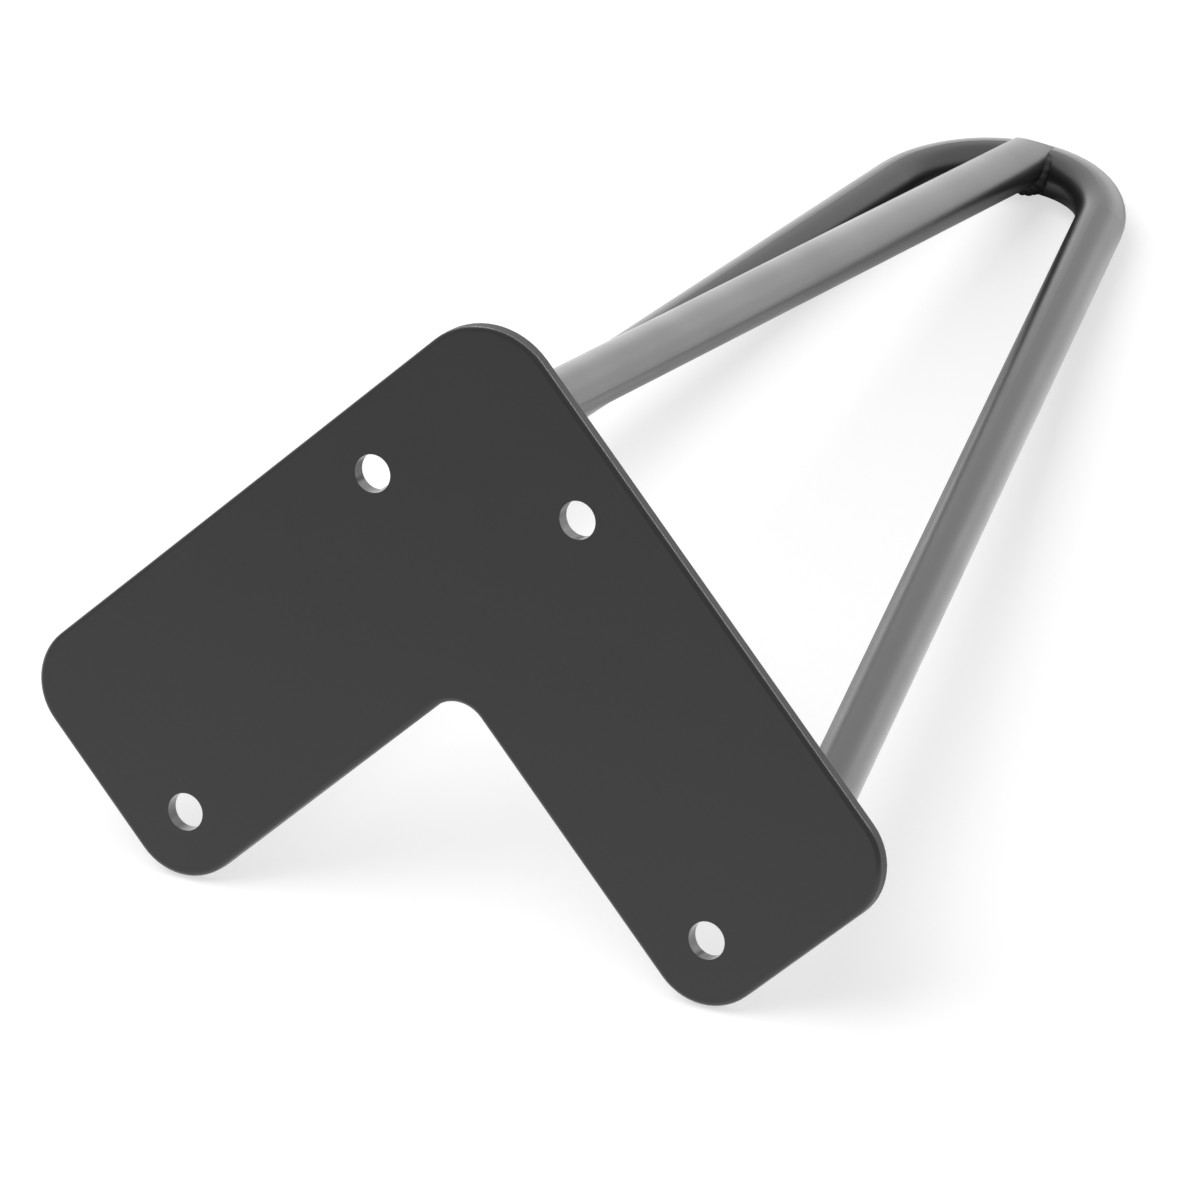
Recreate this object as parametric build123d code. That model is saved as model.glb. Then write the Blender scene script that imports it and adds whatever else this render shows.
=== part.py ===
from build123d import *
import math
import os

# Hairpin table leg with three rods, a steel weldment, in millimetres.
# It is drawn as it hangs under a table top: the plate's mounting face lies on z = 0 and the rods go down.
# The origin is on that face, right above the foot. +Y runs from the plate's outer corner to its notch,
# and the leg is the same on both sides of the YZ plane.

# Whole leg
leg_height = 250.0  # mounting face to the underside of the foot
foot_inset = 20.0  # middle of the foot, in from both outer edges of the plate

# Mounting plate
plate_arm = 125.0  # outer edge of each arm, from where the two outer edges would meet
arm_width = 51.4
plate_thick = 2.8
corner_radius = 15.0  # outer corner between the arms
arm_end_radius = 11.5
notch_radius = 6.5
edge_round = 0.3  # eased rim of both faces
hole_dia = 7.0
hole_inset = 12.0  # hole centres, in from the plate's edges
corner_hole_reach = 40.5  # holes near the corner, from the other arm's outer edge

# Rods
rod_dia = 10.0
rod_inset = 15.0  # hairpin ends, in from the arm's end and from its outer edge
bend_radius = 22.5  # hairpin bend, to the middle of the rod
third_rod_inset = 18.5  # third rod, in from both outer edges of the plate
third_rod_bevel = 20.0  # degrees, where the third rod's end stands proud of the bend

# Welds
plate_weld_leg = 2.5
foot_weld_leg = 1.5

on_base = (Align.CENTER, Align.CENTER, Align.MIN)
rod_radius = rod_dia / 2
underside = Plane.XY.offset(-plate_thick)
foot = Vector(0, 0, rod_radius - leg_height)  # middle of the rod at the lowest point of the bend

# The plate's own frame: its origin is where the outer edges would meet, x and y run along the two arms
plate_frame = Plane(origin=(0, -math.sqrt(2) * foot_inset, 0), x_dir=(1, 1, 0), z_dir=(0, 0, 1))


def under_plate(along, across):
    """Point on the plate's underside, from its distances along and across one arm."""
    return plate_frame.from_local_coords(Vector(along, across, -plate_thick))


left_end = under_plate(plate_arm - rod_inset, rod_inset)
right_end = under_plate(rod_inset, plate_arm - rod_inset)
third_end = under_plate(third_rod_inset, third_rod_inset)


def round_corner(outline, place, radius):
    """Round the one corner of the outline that is at this place."""
    return fillet(outline.vertices().sort_by_distance(place)[0], radius)


def mounting_plate():
    """L-shaped plate with rounded corners, four screw holes and an eased rim."""
    corner = (0, 0)
    notch = (arm_width, arm_width)
    arm_ends = [(plate_arm, 0), (plate_arm, arm_width), (arm_width, plate_arm), (0, plate_arm)]
    outline = make_face(Polyline(corner, *arm_ends[:2], notch, *arm_ends[2:], close=True))
    outline = round_corner(outline, corner, corner_radius)
    outline = round_corner(outline, notch, notch_radius)
    for place in arm_ends:
        outline = round_corner(outline, place, arm_end_radius)

    blank = extrude(plate_frame * outline, amount=-plate_thick)
    faces = blank.faces().filter_by(Axis.Z)
    blank = fillet(faces.edges(), edge_round)

    arm_holes = [(corner_hole_reach, hole_inset), (plate_arm - hole_inset, arm_width - hole_inset)]
    hole = Cylinder(hole_dia / 2, 2 * plate_thick)
    for along, across in arm_holes:
        blank -= plate_frame * Pos(along, across) * hole
        blank -= plate_frame * Pos(across, along) * hole
    return blank


def bent_bar(radius):
    """Round bar of this radius along the hairpin's middle line, cut off flat under the plate."""
    middle = (left_end + right_end) / 2
    aside = (left_end - right_end).normalized()
    down = (foot - middle).normalized()
    half_span = (left_end - right_end).length / 2
    to_bend_centre = (foot - middle).length - bend_radius

    # Each straight run leaves the bend along its tangent, this far past a half turn
    past_half_turn = (
        math.atan2(half_span, to_bend_centre)
        + math.acos(bend_radius / math.hypot(half_span, to_bend_centre))
        - math.pi / 2
    )
    out = aside * bend_radius * math.cos(past_half_turn)
    low = middle + down * (to_bend_centre + bend_radius * math.sin(past_half_turn))
    left_tangent = low + out
    right_tangent = low - out

    # The runs go on past the plate's underside before they are cut
    left_start = left_end + (left_end - left_tangent).normalized() * rod_dia
    right_start = right_end + (right_end - right_tangent).normalized() * rod_dia
    path = Wire([
        Line(left_start, left_tangent).edge(),
        ThreePointArc(left_tangent, foot, right_tangent).edge(),
        Line(right_tangent, right_start).edge(),
    ])
    section = Plane(origin=left_start, z_dir=left_tangent - left_start) * Circle(radius)
    bar = sweep(section, path=path)
    return split(bar, bisect_by=underside, keep=Keep.BOTTOM)


def third_rod(hairpin):
    """Straight rod, its lower end notched over the bend and bevelled flush with the outside of it."""
    length = third_end.Z - foot.Z
    rod = Plane(origin=third_end, z_dir=(0, 0, -1)) * Cylinder(rod_radius, length, align=on_base) - hairpin
    bevel = math.radians(third_rod_bevel)
    bevel_cut = Plane(origin=foot - (0, rod_radius, 0), z_dir=(0, -math.cos(bevel), -math.sin(bevel)))
    return split(rod, bisect_by=bevel_cut, keep=Keep.BOTTOM)


def weld_cone(place, leg, direction, sink=0.0):
    """Cone of 45 degrees round a rod, from a base that lies this far behind the place."""
    base_radius = rod_radius + leg + sink
    tip_radius = rod_radius / 2  # well inside the rod, which is cut out of the cone
    base = Plane(origin=place - direction * sink, z_dir=direction)
    return base * Cone(base_radius, tip_radius, base_radius - tip_radius, align=on_base)


plate = mounting_plate()
hairpin = bent_bar(rod_radius)
third = third_rod(hairpin)

up = Vector(0, 0, 1)
hairpin_welds = weld_cone(left_end, plate_weld_leg, -up) + weld_cone(right_end, plate_weld_leg, -up)

# The third rod's lower bead fills the corner on the inside of the bend and thins out round the rod's sides,
# because its cone is no wider than the rod there and stands one leg further in
inside = Plane(origin=third_end, z_dir=(0, 1, 0))
foot_bead = Vector(third_end.X, third_end.Y + foot_weld_leg, foot.Z + rod_radius)
near_bend = bent_bar(rod_radius + foot_weld_leg)
foot_weld = weld_cone(foot_bead, 0, up, foot_weld_leg) & near_bend
foot_weld = split(foot_weld, bisect_by=inside, keep=Keep.TOP)
third_rod_welds = weld_cone(third_end, plate_weld_leg, -up) + foot_weld

parts = {
    "mounting_plate": plate,
    "hairpin_rod": hairpin,
    "third_rod": third,
    "hairpin_welds": hairpin_welds - hairpin,
    "third_rod_welds": third_rod_welds - [hairpin, third],
}

os.makedirs("parts", exist_ok=True)
for name, shape in parts.items():
    export_step(shape, f"parts/{name}.step")
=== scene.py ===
import math

import bmesh
import bpy
from mathutils import Matrix, Vector


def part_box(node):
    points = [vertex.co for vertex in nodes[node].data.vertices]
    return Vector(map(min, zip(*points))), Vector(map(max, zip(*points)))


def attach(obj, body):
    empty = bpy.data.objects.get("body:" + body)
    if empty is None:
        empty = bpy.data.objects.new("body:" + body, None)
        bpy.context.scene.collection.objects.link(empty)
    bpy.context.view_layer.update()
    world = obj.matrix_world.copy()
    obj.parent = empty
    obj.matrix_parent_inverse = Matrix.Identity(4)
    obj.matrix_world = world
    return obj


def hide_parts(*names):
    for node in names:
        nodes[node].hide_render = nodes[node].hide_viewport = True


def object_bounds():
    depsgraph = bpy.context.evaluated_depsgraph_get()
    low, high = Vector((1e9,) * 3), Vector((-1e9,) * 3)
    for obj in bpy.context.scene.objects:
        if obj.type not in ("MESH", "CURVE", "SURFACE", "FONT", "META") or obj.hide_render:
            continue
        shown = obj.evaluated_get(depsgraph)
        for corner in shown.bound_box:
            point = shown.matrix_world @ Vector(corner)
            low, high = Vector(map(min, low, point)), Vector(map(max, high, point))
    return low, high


# Hairpin table leg: a black powder-coated weldment, lying on a white floor with its screw plate to the camera
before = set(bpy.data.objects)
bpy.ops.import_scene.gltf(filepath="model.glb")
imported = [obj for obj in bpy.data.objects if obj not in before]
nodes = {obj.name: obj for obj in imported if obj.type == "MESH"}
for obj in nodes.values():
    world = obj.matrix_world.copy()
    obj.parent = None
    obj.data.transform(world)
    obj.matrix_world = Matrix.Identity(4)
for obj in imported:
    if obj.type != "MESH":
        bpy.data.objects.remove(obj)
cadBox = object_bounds()
scene = bpy.context.scene
mm = 0.001
samePoint = 0.001 * mm  # points nearer to each other than this are merged
onCut = 0.0001 * mm  # points nearer to a cutting plane than this lie on it
up, down = Vector((0, 0, 1)), Vector((0, 0, -1))
print("frame loaded:", ", ".join(sorted(nodes)))


def turnTo(x, y, z):
    # rotation that points an object's own axes these ways
    return Matrix((x, y, z)).transposed()


# The leg lies on the foot bend and the two arm ends, so in its own frame the floor is a leaning plane
floorLay = {
    "tilt": 19.555,  # degrees, plumb line of the leg to the floor
    "reach": 3.0,  # m, from the middle of the floor to its edge
}
tilt = math.radians(floorLay["tilt"])
floorAcross = Vector((1, 0, 0))
floorAlong = Vector((0, math.sin(tilt), math.cos(tilt)))  # from the foot towards the plate
floorUp = Vector((0, -math.cos(tilt), math.sin(tilt)))
floorTurn = turnTo(floorAcross, floorAlong, floorUp)
lowestPoint = min((v.co for node in nodes.values() for v in node.data.vertices), key=floorUp.dot)
floorOrigin = floorUp * floorUp.dot(lowestPoint)


def onFloor(across, along, height):
    # metres along the floor's own axes, as a point in the leg's frame
    return floorOrigin + floorAcross * across + floorAlong * along + floorUp * height


def linearColour(hexCode):
    # sRGB hex to the linear colour that a shader socket takes
    channels = [int(hexCode[i : i + 2], 16) / 255 for i in (1, 3, 5)]
    return [c / 12.92 if c <= 0.04045 else ((c + 0.055) / 1.055) ** 2.4 for c in channels] + [1]


def addNode(tree, kind, values=None, links=None, **settings):
    node = tree.nodes.new("ShaderNode" + kind)
    for name, setting in settings.items():
        setattr(node, name, setting)
    for socket, value in (values or {}).items():
        node.inputs[socket].default_value = value
    for socket, source in (links or {}).items():
        tree.links.new(source, node.inputs[socket])
    return node


def anyOfRays(tree, *rays):
    # 1 for the kinds of ray that are named, 0 for the others
    path = addNode(tree, "LightPath").outputs
    found = path[rays[0]]
    for ray in rays[1:]:
        found = addNode(tree, "Math", {}, {0: found, 1: path[ray]}, operation="MAXIMUM").outputs[0]
    return found


def newMaterial(name):
    material = bpy.data.materials.new(name)
    material.use_nodes = True
    material.node_tree.nodes.clear()
    return material, material.node_tree


# Polyester powder coat, sprayed on blasted steel and baked. To the eye it is a satin black skin that follows
# the metal closely: a faint orange peel breaks up reflections, and the gloss wanders from place to place.
plateCoat = {
    "name": "satinPowderCoatOnSheet",
    "colour": "#131314",
    "paleColour": "#171718",  # where the powder lies a touch thicker
    "roughness": (0.26, 0.32),
    "ior": 1.45,
    "cutEdge": 0.38,  # extra roughness on the cut rim of the sheet, which is duller
    "cutFacing": (0.05, 0.25),  # how level a surface is where that starts to fade, and where it ends
    "cloudSize": 24.0,  # mm, patches of thicker powder and of duller gloss
    "cloudSpan": (0.3, 0.7),  # range of the patches' noise that takes the gloss from shiny to dull
    "peelSize": 1.1,  # mm between the swells of the orange peel
    "peelHeight": 0.006,  # mm
    "grainSize": 0.25,  # mm, grit of the powder, coarser than the real 0.05 so that it shows close by
    "grainHeight": 0.0006,  # mm
}
# on the bars and in the holes it reflects more than on the sheet, and on the welds it is duller
rodCoat = dict(
    plateCoat, name="satinPowderCoatOnBar", roughness=(0.3, 0.36), ior=1.8, cutEdge=0.0, cloudSize=16.0
)
holeCoat = dict(rodCoat, name="satinPowderCoatInHole", ior=1.6, cloudSize=6.0)
weldCoat = dict(
    plateCoat, name="satinPowderCoatOnWeld", roughness=(0.4, 0.5), cutEdge=0.0, cloudSize=4.0, peelSize=0.7
)


def powderCoat(coat):
    material, tree = newMaterial(coat["name"])
    coords = addNode(tree, "TexCoord").outputs
    cloud, peel, grain = [
        addNode(tree, "TexNoise", {"Scale": 1 / (coat[size] * mm)}, {"Vector": coords["Object"]}).outputs[0]
        for size in ("cloudSize", "peelSize", "grainSize")
    ]
    tint = addNode(  # sockets 6, 7 and output 2 are the colour ones
        tree, "Mix", {6: linearColour(coat["colour"]), 7: linearColour(coat["paleColour"])}, {0: cloud},
        data_type="RGBA",
    )
    thin, thick = coat["cloudSpan"]
    shiny, dull = coat["roughness"]
    gloss = addNode(
        tree, "MapRange", {"From Min": thin, "From Max": thick, "To Min": shiny, "To Max": dull},
        {"Value": cloud},
    )

    # a sheet's cut rim faces sideways
    facing = addNode(tree, "SeparateXYZ", {}, {0: coords["Normal"]}).outputs["Z"]
    flat = addNode(tree, "Math", {}, {0: facing}, operation="ABSOLUTE").outputs[0]
    sideways, rolledOver = coat["cutFacing"]
    rim = addNode(
        tree, "MapRange",
        {"From Min": sideways, "From Max": rolledOver, "To Min": coat["cutEdge"], "To Max": 0.0},
        {"Value": flat},
    )
    roughness = addNode(
        tree, "Math", {}, {0: gloss.outputs["Result"], 1: rim.outputs["Result"]}, operation="ADD"
    )

    swell = addNode(tree, "Bump", {"Distance": coat["peelHeight"] * mm}, {"Height": peel})
    grit = addNode(
        tree, "Bump", {"Distance": coat["grainHeight"] * mm},
        {"Height": grain, "Normal": swell.outputs["Normal"]},
    )
    surface = addNode(
        tree, "BsdfPrincipled", {"IOR": coat["ior"]},
        {
            "Base Color": tint.outputs[2],
            "Roughness": roughness.outputs[0],
            "Normal": grit.outputs["Normal"],
        },
    )
    addNode(tree, "OutputMaterial", {}, {"Surface": surface.outputs["BSDF"]})
    return material


coats = {coat["name"]: powderCoat(coat) for coat in (plateCoat, rodCoat, holeCoat, weldCoat)}
bars = ("hairpin_rod", "third_rod")
for name in bars:
    nodes[name].material_slots[0].material = coats[rodCoat["name"]]
print("powder coat on", ", ".join(bars))


def newPiece(name, node, coat):
    piece = bpy.data.objects.new(name, bpy.data.meshes.new(name))
    piece.data.materials.append(coats[coat["name"]])
    scene.collection.objects.link(piece)
    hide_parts(node)
    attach(piece, "root")
    return piece


# The sheet with the rounder rim that it has in the photograph. Its outline and holes are the CAD plate's own.
sheetRim = {
    "faceRound": 0.9,  # mm, rolled over where the cut went in, on the mounting face
    "backRound": 0.15,  # mm, nearly sharp where the cut came out
    "steps": 10,  # strips across each round
    "straight": 0.2,  # degrees, a turn of the outline under this is no corner
}
bpy.context.view_layer.update()
plateLow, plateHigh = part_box("mounting_plate")
halfway = (plateLow + plateHigh) / 2
underside = plateLow.z


def sheetOutlines(bm):
    # cuts the CAD plate's walls with a level plane, and gives the edges of the outer loop
    bm.from_mesh(nodes["mounting_plate"].data)
    bmesh.ops.remove_doubles(bm, verts=bm.verts[:], dist=samePoint)
    bmesh.ops.bisect_plane(
        bm, geom=bm.verts[:] + bm.edges[:] + bm.faces[:], dist=onCut,
        plane_co=halfway, plane_no=up, clear_inner=True, clear_outer=True,
    )
    corner = math.radians(sheetRim["straight"])
    bmesh.ops.dissolve_verts(bm, verts=[v for v in bm.verts if v.calc_edge_angle() < corner])
    outer, reached = set(), {max(bm.verts, key=lambda v: v.co.x)}
    while reached:
        outer |= reached
        reached = {edge.other_vert(v) for v in reached for edge in v.link_edges} - outer
    return [edge for edge in bm.edges if edge.verts[0] in outer]


def turnRimOver(bm, faces, radius):
    # strips from the wall to the face, each a little further in and further out; open holes stay as they are
    angles = [math.pi / 2 * step / sheetRim["steps"] for step in range(sheetRim["steps"] + 1)]
    for low, high in zip(angles, angles[1:]):
        bmesh.ops.inset_region(
            bm, faces=faces, use_boundary=False, use_even_offset=True,
            thickness=radius * (math.cos(low) - math.cos(high)),
            depth=radius * (math.sin(high) - math.sin(low)),
        )


def sheetWithSoftRim(piece):
    # the straight part of the wall between two filled sections, then the rims, then the walls of the holes
    bm = bmesh.new()
    outline = sheetOutlines(bm)
    faceRound, backRound = sheetRim["faceRound"] * mm, sheetRim["backRound"] * mm
    wallTop, wallFoot = plateHigh.z - faceRound, underside + backRound
    bmesh.ops.translate(bm, verts=bm.verts[:], vec=(0, 0, wallTop - halfway.z))
    bmesh.ops.triangle_fill(bm, use_beauty=True, edges=bm.edges[:], normal=up)
    top = bm.faces[:]
    copied = bmesh.ops.duplicate(bm, geom=bm.verts[:] + bm.edges[:] + top)
    bottom = [copied["face_map"][face] for face in top]
    lowered = {v for face in bottom for v in face.verts}
    bmesh.ops.translate(bm, verts=list(lowered), vec=(0, 0, wallFoot - wallTop))
    bmesh.ops.bridge_loops(bm, edges=outline + [copied["edge_map"][edge] for edge in outline])
    bmesh.ops.recalc_face_normals(bm, faces=bm.faces[:])
    turnRimOver(bm, top, faceRound)
    turnRimOver(bm, bottom, backRound)
    holeEdges = [edge for edge in bm.edges if edge.is_boundary]
    holeWalls = bmesh.ops.bridge_loops(bm, edges=holeEdges, use_pairs=True)["faces"]
    bmesh.ops.recalc_face_normals(bm, faces=bm.faces[:])
    for face in bm.faces:
        face.smooth = True
    for face in holeWalls:
        face.material_index = 1  # the second coat, the one in the holes
    for edge in holeEdges:
        edge.smooth = False
    bm.to_mesh(piece.data)
    bm.free()
    flatFaces = piece.modifiers.new("flatFaces", "WEIGHTED_NORMAL")  # shades the flat faces as flat
    flatFaces.keep_sharp = True


sheet = newPiece("softRimSheet", "mounting_plate", plateCoat)
sheet.data.materials.append(coats[holeCoat["name"]])
sheetWithSoftRim(sheet)
print(sheet.name, len(sheet.data.polygons), "faces")

# Weld beads with the ripples that the weld pool leaves, softened by the coat. They stand for the plain
# beads of the CAD.
weldBead = {
    "plateLeg": 2.3,  # mm, from the seam to the bead's toes on the plate and on the rod
    "footLeg": 2.0,  # mm, bead where the third rod meets the bend, thickest on the inside
    "sunk": 0.6,  # mm, middle of the bead's round section, behind the seam
    "ripplePitch": 1.5,  # mm along the seam
    "rippleDepth": 0.12,  # mm
    "ringsPerRipple": 6,
    "sides": 20,  # corners of the round section
    "taper": 0.5,  # power of the sine that thins a bead towards its two ends
    "footSweep": (-34, 214),  # degrees round the third rod, the part of its foot that is welded
    "castFrom": 15.0,  # mm from the rod's middle, where the search for its skin starts
    "castBelow": 0.05,  # mm under the plate, the level of that search
    "castStep": 1,  # degrees between two points of a seam
    "endDepth": 0.01,  # mm under the plate, to where points count as the rod's end
}


def endOf(rod, side):
    # middle of a rod's end under the plate, on the side that has this sign
    lowest = underside - weldBead["endDepth"] * mm
    rim = [v.co for v in nodes[rod].data.vertices if v.co.z > lowest and v.co.x * side >= 0]
    return sum(rim, Vector()) / len(rim)


def around(degrees):
    return Vector((math.cos(math.radians(degrees)), math.sin(math.radians(degrees)), 0))


def seamUnderPlate(rod, middle):
    # points of the rod's skin right under the plate, all the way round
    level = Vector((middle.x, middle.y, underside - weldBead["castBelow"] * mm))
    casts = [
        nodes[rod].ray_cast(level + around(turn) * weldBead["castFrom"] * mm, -around(turn))
        for turn in range(0, 360, weldBead["castStep"])
    ]
    return [point for hit, point, normal, face in casts if hit]


def seamOnBend(middle, radius):
    # points of the bend straight under the third rod's skin, on the inside of the bend
    casts = [
        nodes["hairpin_rod"].ray_cast(middle + around(turn) * radius, down)
        for turn in range(*weldBead["footSweep"], weldBead["castStep"])
    ]
    return [point for hit, point, normal, face in casts if hit]


def ringsAlongSeam(bm, seam, middle, leg, into, closed):
    # rings square to the seam that swell and thin with each ripple
    sunk = weldBead["sunk"] * mm
    radius = math.hypot(leg * mm + sunk, sunk)
    length = sum((b - a).length for a, b in zip(seam, seam[1:]))
    perRipple = weldBead["ringsPerRipple"]
    count = round(length / (weldBead["ripplePitch"] * mm)) * perRipple
    rings = []
    for step in range(count):
        at = step * len(seam) // count
        ahead = (seam[(at + 1) % len(seam)] - seam[at]).normalized()
        inward = Vector((middle.x - seam[at].x, middle.y - seam[at].y, 0))
        inward = (inward - ahead * inward.dot(ahead)).normalized()
        fade = 1 if closed else math.sin(math.pi * (step + 0.5) / count) ** weldBead["taper"]
        swell = weldBead["rippleDepth"] * mm * math.cos(math.tau * step / perRipple)
        turn = turnTo(inward, ahead.cross(inward), ahead).to_4x4()
        ring = bmesh.ops.create_circle(
            bm, cap_ends=False, segments=weldBead["sides"], radius=(radius + swell) * fade,
            matrix=Matrix.Translation(seam[at] + (inward + into) * sunk) @ turn,
        )
        rings.append(list({edge for vert in ring["verts"] for edge in vert.link_edges}))
    return rings


def addBead(piece, seam, middle, leg, into, closed):
    bm = bmesh.new()
    rings = ringsAlongSeam(bm, seam, middle, leg, into, closed)
    for near, far in zip(rings, rings[1:] + rings[:1] if closed else rings[1:]):
        bmesh.ops.bridge_loops(bm, edges=near + far)
    if closed:
        # cut off flat where the plate starts, and closed there
        cut = bmesh.ops.bisect_plane(
            bm, geom=bm.verts[:] + bm.edges[:] + bm.faces[:], dist=onCut,
            plane_co=(0, 0, underside), plane_no=up, clear_outer=True,
        )
        toes = [edge for edge in cut["geom_cut"] if isinstance(edge, bmesh.types.BMEdge)]
        bmesh.ops.bridge_loops(bm, edges=toes)
        for edge in toes:
            edge.smooth = False
    else:
        for ring in (rings[0], rings[-1]):
            bmesh.ops.edgeloop_fill(bm, edges=ring)
    bmesh.ops.recalc_face_normals(bm, faces=bm.faces[:])
    for face in bm.faces:
        face.smooth = True
    bm.from_mesh(piece.data)
    bm.to_mesh(piece.data)
    bm.free()


hairpinBeads = newPiece("hairpinBeads", "hairpin_welds", weldCoat)
for side in (1, -1):
    middle = endOf("hairpin_rod", side)
    addBead(hairpinBeads, seamUnderPlate("hairpin_rod", middle), middle, weldBead["plateLeg"], up, True)

thirdRodBeads = newPiece("thirdRodBeads", "third_rod_welds", weldCoat)
thirdLow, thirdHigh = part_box("third_rod")
middle = (thirdLow + thirdHigh) / 2
rodRadius = (thirdHigh.x - thirdLow.x) / 2
addBead(thirdRodBeads, seamUnderPlate("third_rod", middle), middle, weldBead["plateLeg"], up, True)
addBead(thirdRodBeads, seamOnBend(middle, rodRadius), middle, weldBead["footLeg"], down, False)
for piece in (hairpinBeads, thirdRodBeads):
    print(piece.name, len(piece.data.polygons), "faces")

# Seamless paper, matt and white. The camera and the coat's gloss see it white, and the leg still casts its
# shadow on it; in the white that the gloss sees, painted shade is added round the leg.
floorPaper = {
    "colour": "#bfbfbf",
    "glow": 0.62,  # white that the camera sees on top of the lit paper
    "mirrorGlow": 1.5,  # the same for the gloss on the coat, less inside the ovals of painted shade round the leg
    "paintedShades": {  # ovals of painted shade on the floor: middle and half size in m, what is left inside, and where they fade out
        "betweenRods": {
            "middle": (0.0, -0.12, 0.0), "reach": (0.035, 0.15, 1.0), "left": 0.25, "fade": (0.7, 1.15),
        },
        "atFoot": {
            "middle": (0.0, -0.235, 0.0), "reach": (0.04, 0.03, 1.0), "left": 0.0, "fade": (0.4, 1.0),
        },
    },
}


def mirroredGlow(tree):
    # strength of the white that the coat's gloss sees, thinned inside each oval to paint shade there
    glossy = anyOfRays(tree, "Is Glossy Ray")
    glow = addNode(tree, "Math", {1: floorPaper["mirrorGlow"]}, {0: glossy}, operation="MULTIPLY")
    place = addNode(tree, "TexCoord").outputs["Object"]
    for shade in floorPaper["paintedShades"].values():
        oval = addNode(
            tree, "Mapping",
            {
                "Location": onFloor(*shade["middle"]),
                "Rotation": floorTurn.to_euler(),
                "Scale": shade["reach"],
            },
            {"Vector": place}, vector_type="TEXTURE",
        )
        outward = addNode(tree, "VectorMath", {}, {0: oval.outputs["Vector"]}, operation="LENGTH")
        near, far = shade["fade"]
        part = addNode(
            tree, "MapRange", {"From Min": near, "From Max": far, "To Min": shade["left"], "To Max": 1.0},
            {"Value": outward.outputs["Value"]},
        )
        glow = addNode(
            tree, "Math", {}, {0: glow.outputs[0], 1: part.outputs["Result"]}, operation="MULTIPLY"
        )
    return glow.outputs[0]


def whitePaper():
    material, tree = newMaterial("whiteSeamlessPaper")
    seen = anyOfRays(tree, "Is Camera Ray", "Is Transmission Ray")
    glow = addNode(
        tree, "Math", {1: floorPaper["glow"]}, {0: seen, 2: mirroredGlow(tree)}, operation="MULTIPLY_ADD"
    )
    paper = addNode(
        tree, "BsdfPrincipled",
        {
            "Base Color": linearColour(floorPaper["colour"]),
            "Roughness": 1.0,
            "Specular IOR Level": 0.0,
            "Emission Color": (1, 1, 1, 1),
        },
        {"Emission Strength": glow.outputs[0]},
    )
    # seen from below, the floor is left out
    clear = addNode(tree, "BsdfTransparent")
    below = addNode(tree, "NewGeometry").outputs["Backfacing"]
    both = addNode(tree, "MixShader", {}, {0: below, 1: paper.outputs["BSDF"], 2: clear.outputs["BSDF"]})
    addNode(tree, "OutputMaterial", {}, {"Surface": both.outputs["Shader"]})
    return material


floor = bpy.data.objects.new("paperFloor", bpy.data.meshes.new("paperFloor"))
bm = bmesh.new()
bmesh.ops.create_grid(
    bm, x_segments=1, y_segments=1, size=floorLay["reach"],
    matrix=Matrix.LocRotScale(floorOrigin, floorTurn, None),
)
bm.to_mesh(floor.data)
bm.free()
floor.data.materials.append(whitePaper())
scene.collection.objects.link(floor)
print("floor laid, tilted", floorLay["tilt"], "degrees")

# Plain soft studio light
studio = {
    "worldLight": 0.3,  # grey room that fills in the shade
    "overhead": 0.9,  # upright share of its direction, past which a lamp's sides follow the floor's axes
    # places in m along the floor's axes, and what is lit: all, what is matte, or the gloss of the sheet's rim
    "lamps": {
        "overheadSoftbox": {
            "place": (0.5, 0.15, 1.35), "size": (1.4, 1.4), "radiance": 2.5, "lights": "matte",
        },
        "backPanel": {"place": (0.0, -1.7, 0.85), "size": (5.0, 1.7), "radiance": 0.4, "lights": "all"},
        "horizonStrip": {"place": (0.0, -1.6, 0.2), "size": (5.0, 0.4), "radiance": 1.2, "lights": "all"},
        "leftGlint": {"place": (0.74, -0.67, 1.2), "size": (0.7, 0.3), "radiance": 16.0, "lights": "rim"},
        "middleGlint": {"place": (-0.17, -0.76, 1.38), "size": (1.0, 0.4), "radiance": 8.0, "lights": "rim"},
        "rightGlint": {"place": (-0.92, -1.27, 0.77), "size": (0.7, 0.4), "radiance": 14.0, "lights": "rim"},
    },
}
world = bpy.data.worlds.new("greyRoom")
scene.world = world
world.use_nodes = True
tree = world.node_tree
tree.nodes.clear()
seen = anyOfRays(tree, "Is Camera Ray", "Is Glossy Ray", "Is Transmission Ray")
strength = addNode(tree, "MapRange", {"To Min": studio["worldLight"], "To Max": 1.0}, {"Value": seen})
room = addNode(tree, "Background", {"Color": (1, 1, 1, 1)}, {"Strength": strength.outputs["Result"]})
addNode(tree, "OutputWorld", {}, {"Surface": room.outputs["Background"]})

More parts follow.
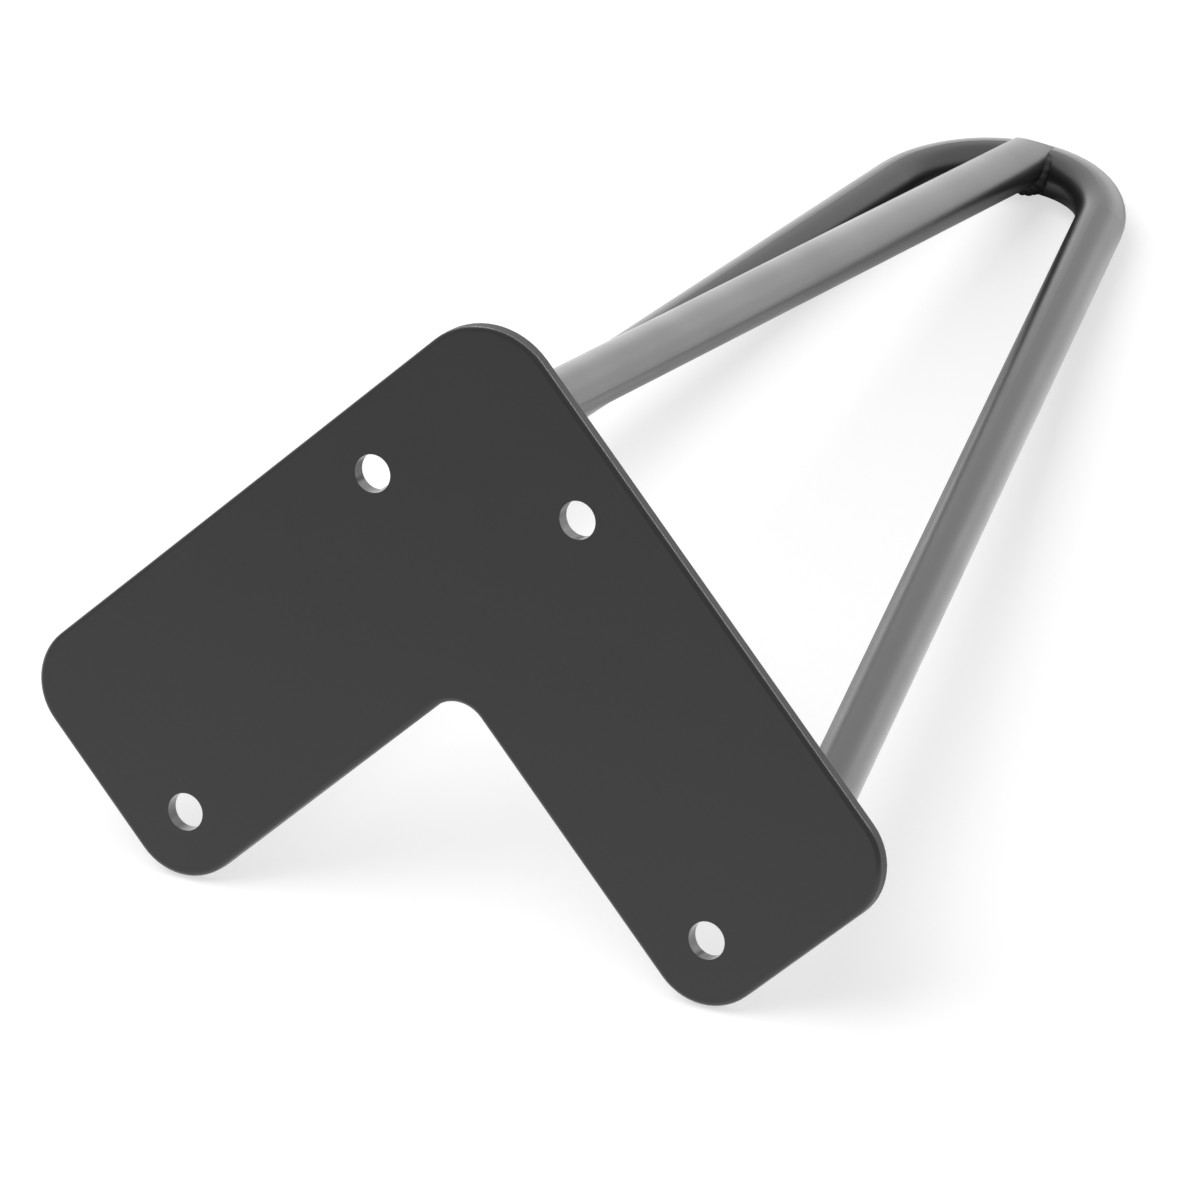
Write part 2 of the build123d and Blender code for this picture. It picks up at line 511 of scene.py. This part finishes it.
rimLit = bpy.data.collections.new("rimLit")  # the glints reach the sheet alone, for the gloss on its rim
rimLit.objects.link(sheet)
legMiddle = (cadBox[0] + cadBox[1]) / 2


def hangLamp(name, lamp):
    light = bpy.data.lights.new(name, "AREA")
    light.shape = "RECTANGLE"
    width, height = lamp["size"]
    light.size, light.size_y = width, height
    light.energy = lamp["radiance"] * math.pi * width * height
    holder = bpy.data.objects.new(name, light)
    place = onFloor(*lamp["place"])
    back = (place - legMiddle).normalized()
    # the glints lie along the plate, behind its plane, so that its mounting face never mirrors them
    upright = up if lamp["lights"] == "rim" else floorUp
    side = floorAcross if abs(upright.dot(back)) > studio["overhead"] else upright.cross(back)
    side = (side - back * side.dot(back)).normalized()
    holder.matrix_world = Matrix.Translation(place) @ turnTo(side, back.cross(side), back).to_4x4()
    holder.visible_camera = False
    holder.visible_diffuse = lamp["lights"] != "rim"
    holder.visible_glossy = lamp["lights"] != "matte"
    if lamp["lights"] == "rim":
        holder.light_linking.receiver_collection = rimLit
    scene.collection.objects.link(holder)


for name, lamp in studio["lamps"].items():
    hangLamp(name, lamp)
print("light:", ", ".join(studio["lamps"]))

# Camera at the photograph's angle: a long lens, looking down on the plate from the left
photoCamera = {
    "place": (-0.64319, -0.46090, 1.35876),  # m, in the leg's frame
    "lookAt": (-0.02530, 0.02264, -0.00113),
    "roll": 4.709,  # degrees, lean of the floor's upright in the picture
    "lens": 269.806,  # mm
    "sensor": 36.0,  # mm
}
eye = bpy.data.cameras.new("photoCamera")
eye.lens = photoCamera["lens"]
eye.sensor_width = photoCamera["sensor"]
camera = bpy.data.objects.new("photoCamera", eye)
ahead = (Vector(photoCamera["lookAt"]) - Vector(photoCamera["place"])).normalized()
upright = (floorUp - ahead * floorUp.dot(ahead)).normalized()
upright = Matrix.Rotation(math.radians(photoCamera["roll"]), 3, ahead) @ upright
turn = turnTo(ahead.cross(upright), upright, -ahead).to_4x4()
camera.matrix_world = Matrix.Translation(photoCamera["place"]) @ turn
scene.collection.objects.link(camera)
scene.camera = camera
print("camera with a lens of", photoCamera["lens"], "mm")

scene.view_settings.view_transform = "Standard"
